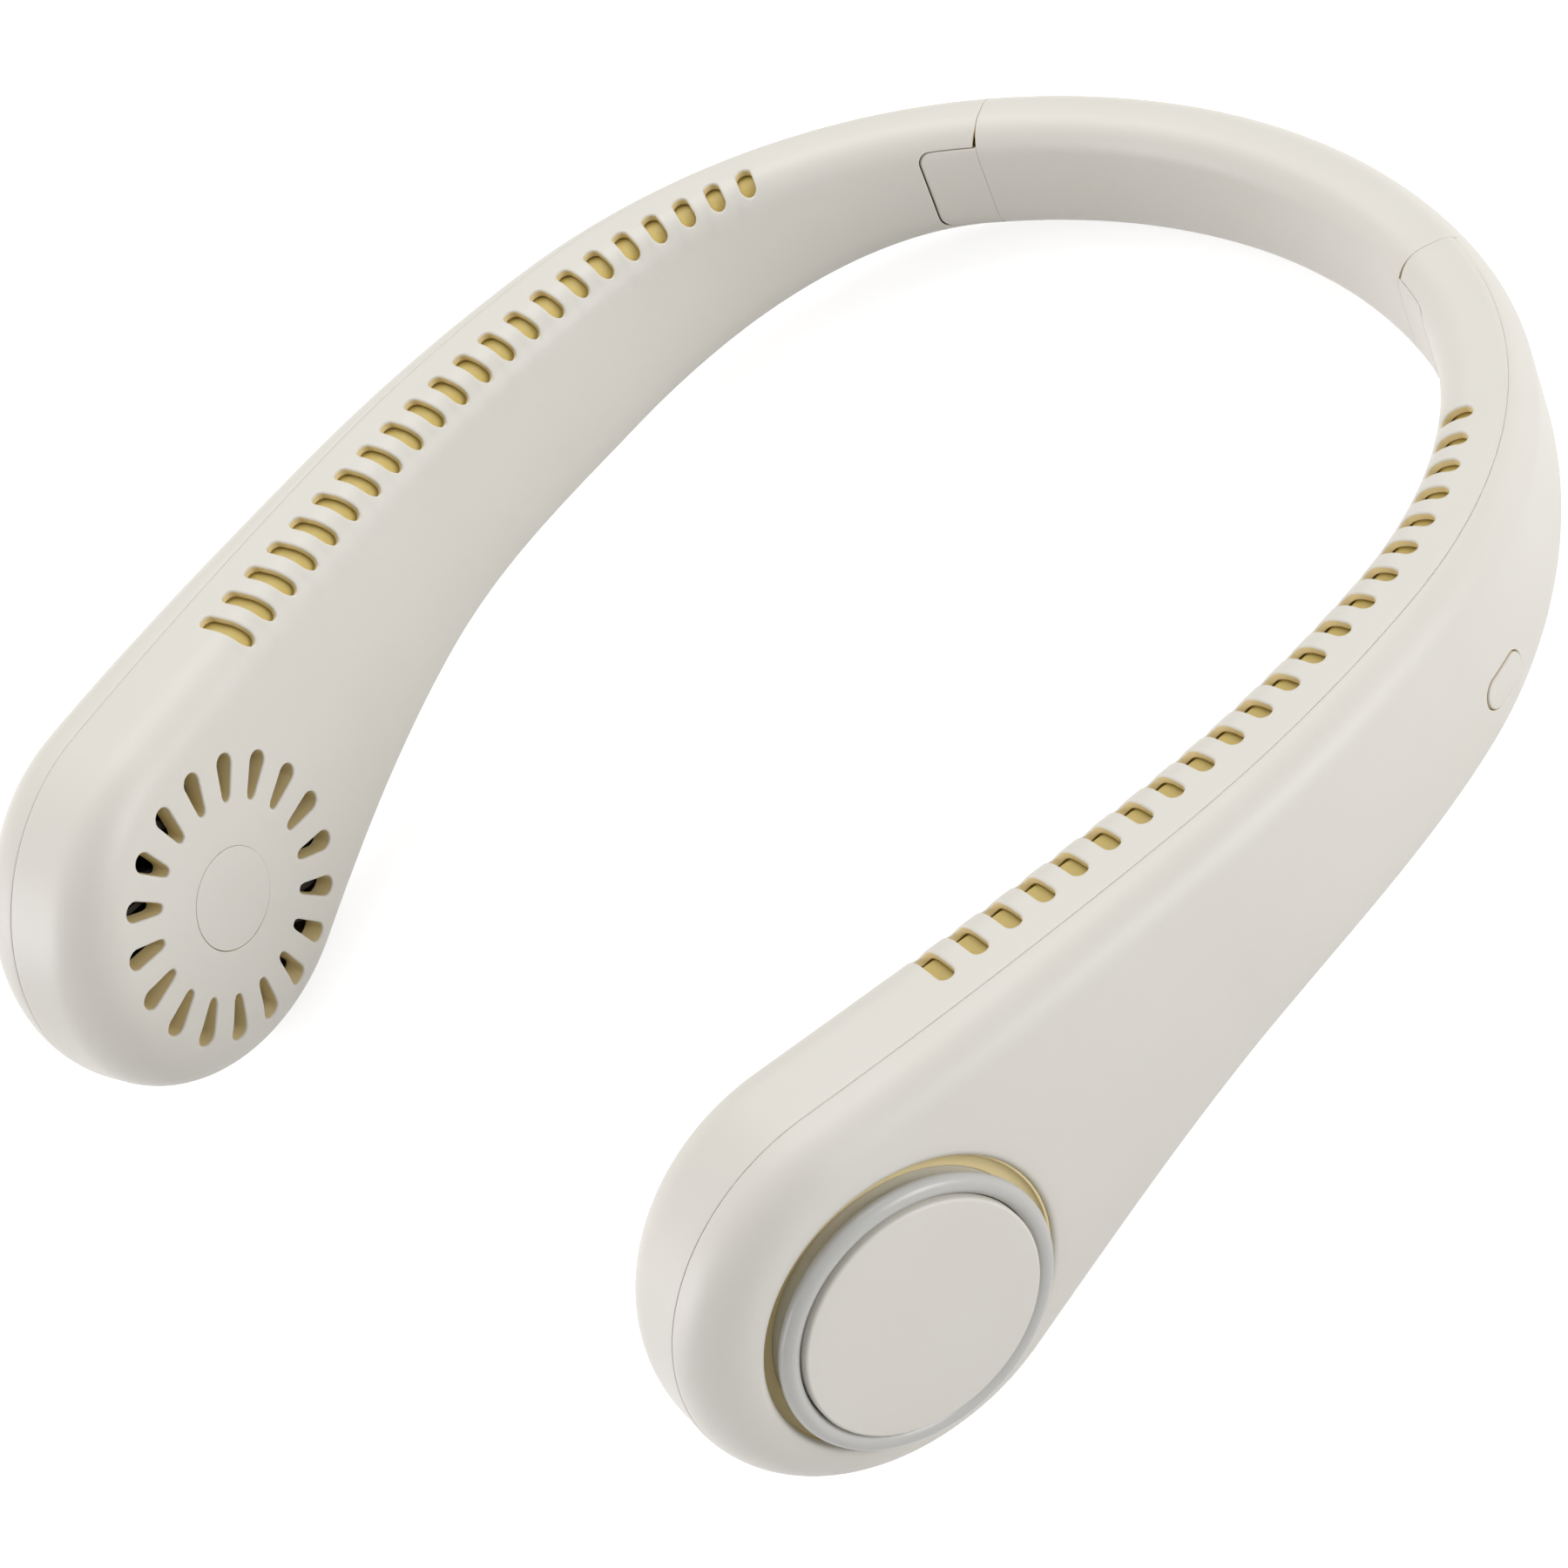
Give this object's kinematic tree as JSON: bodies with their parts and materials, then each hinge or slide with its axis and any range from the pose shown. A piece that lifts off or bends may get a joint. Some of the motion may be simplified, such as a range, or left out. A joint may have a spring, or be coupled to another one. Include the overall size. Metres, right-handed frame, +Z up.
{
  "type": "electric neck fan",
  "caption": "U-shaped neck collar with two folding hollow arms that end in round turbine housings, air slots along the top, an inner grille and a ring-framed intake cap.",
  "frame": {"origin": "on the ground under the middle of the collar's box", "axes": "+Z up from the ground, +X to the wearer's left, +Y to the rear of the neckband"},
  "size_m": [0.184, 0.2034, 0.0576],
  "materials": {
    "ivory_shell": "satin",
    "ivory_cap": "satin",
    "grey_ring": "semi-gloss",
    "turbine_black": "matte",
    "duct_plastic": "matte",
    "stator_steel": "dull",
    "bright_steel": "bright",
    "bush_brass": "bright",
    "cell_wrap": "dull",
    "board_green": "satin",
    "lead_rubber": "matte"
  },
  "bodies": {
    "neckband": {"neckband_inner_shell": "ivory_shell", "neckband_outer_shell": "ivory_shell", "neckband_lead": "lead_rubber", "left_hinge_tongue": "ivory_shell", "right_hinge_tongue": "ivory_shell"},
    "left_arm": {"left_inner_shell": "ivory_shell", "left_outer_cover": "ivory_shell", "left_intake_ring": "grey_ring", "left_intake_cap": "ivory_cap", "left_grille_badge": "ivory_cap", "left_motor_base": "duct_plastic", "left_motor_stator": "stator_steel", "left_shaft_bushes": "bush_brass", "left_motor_screws": "bright_steel", "left_ring_screws": "bright_steel", "left_scroll_wall": "duct_plastic", "left_channel_floor": "duct_plastic", "left_battery_cell": "cell_wrap", "left_hinge_pin": "bright_steel", "left_control_board": "board_green", "left_power_switch": "turbine_black", "left_charging_socket": "bright_steel"},
    "right_arm": {"right_inner_shell": "ivory_shell", "right_outer_cover": "ivory_shell", "right_intake_ring": "grey_ring", "right_intake_cap": "ivory_cap", "right_grille_badge": "ivory_cap", "right_motor_base": "duct_plastic", "right_motor_stator": "stator_steel", "right_shaft_bushes": "bush_brass", "right_motor_screws": "bright_steel", "right_ring_screws": "bright_steel", "right_scroll_wall": "duct_plastic", "right_channel_floor": "duct_plastic", "right_battery_cell": "cell_wrap", "right_hinge_pin": "bright_steel"},
    "left_turbine": {"left_impeller": "turbine_black", "left_rotor_can": "bright_steel", "left_magnet_ring": "stator_steel", "left_motor_shaft": "bright_steel"},
    "right_turbine": {"right_impeller": "turbine_black", "right_rotor_can": "bright_steel", "right_magnet_ring": "stator_steel", "right_motor_shaft": "bright_steel"},
    "power_button": {"left_power_button": "ivory_cap"}
  },
  "joints": [
    {"name": "left_fold", "type": "hinge", "parent": "neckband", "child": "left_arm", "pos_m": [0.04835, 0.08005, 0.01296], "axis": [0, -0.2266, -0.974], "range_deg": [0, 15]},
    {"name": "right_fold", "type": "hinge", "parent": "neckband", "child": "right_arm", "pos_m": [-0.04835, 0.08005, 0.01296], "axis": [0, 0.2266, 0.974], "range_deg": [0, 15]},
    {"name": "left_spin", "type": "hinge", "parent": "left_arm", "child": "left_turbine", "pos_m": [0.05989, -0.06992, 0.02814], "axis": [0.9754, -0.2149, 0.05], "continuous": true},
    {"name": "right_spin", "type": "hinge", "parent": "right_arm", "child": "right_turbine", "pos_m": [-0.05989, -0.06992, 0.02814], "axis": [-0.9754, -0.2149, 0.05], "continuous": true},
    {"name": "button_press", "type": "slide", "parent": "left_arm", "child": "power_button", "axis": [-0.9851, -0.1676, 0.039], "range_m": [0, 0.0005], "stiffness_N_per_m": 2000}
  ]
}
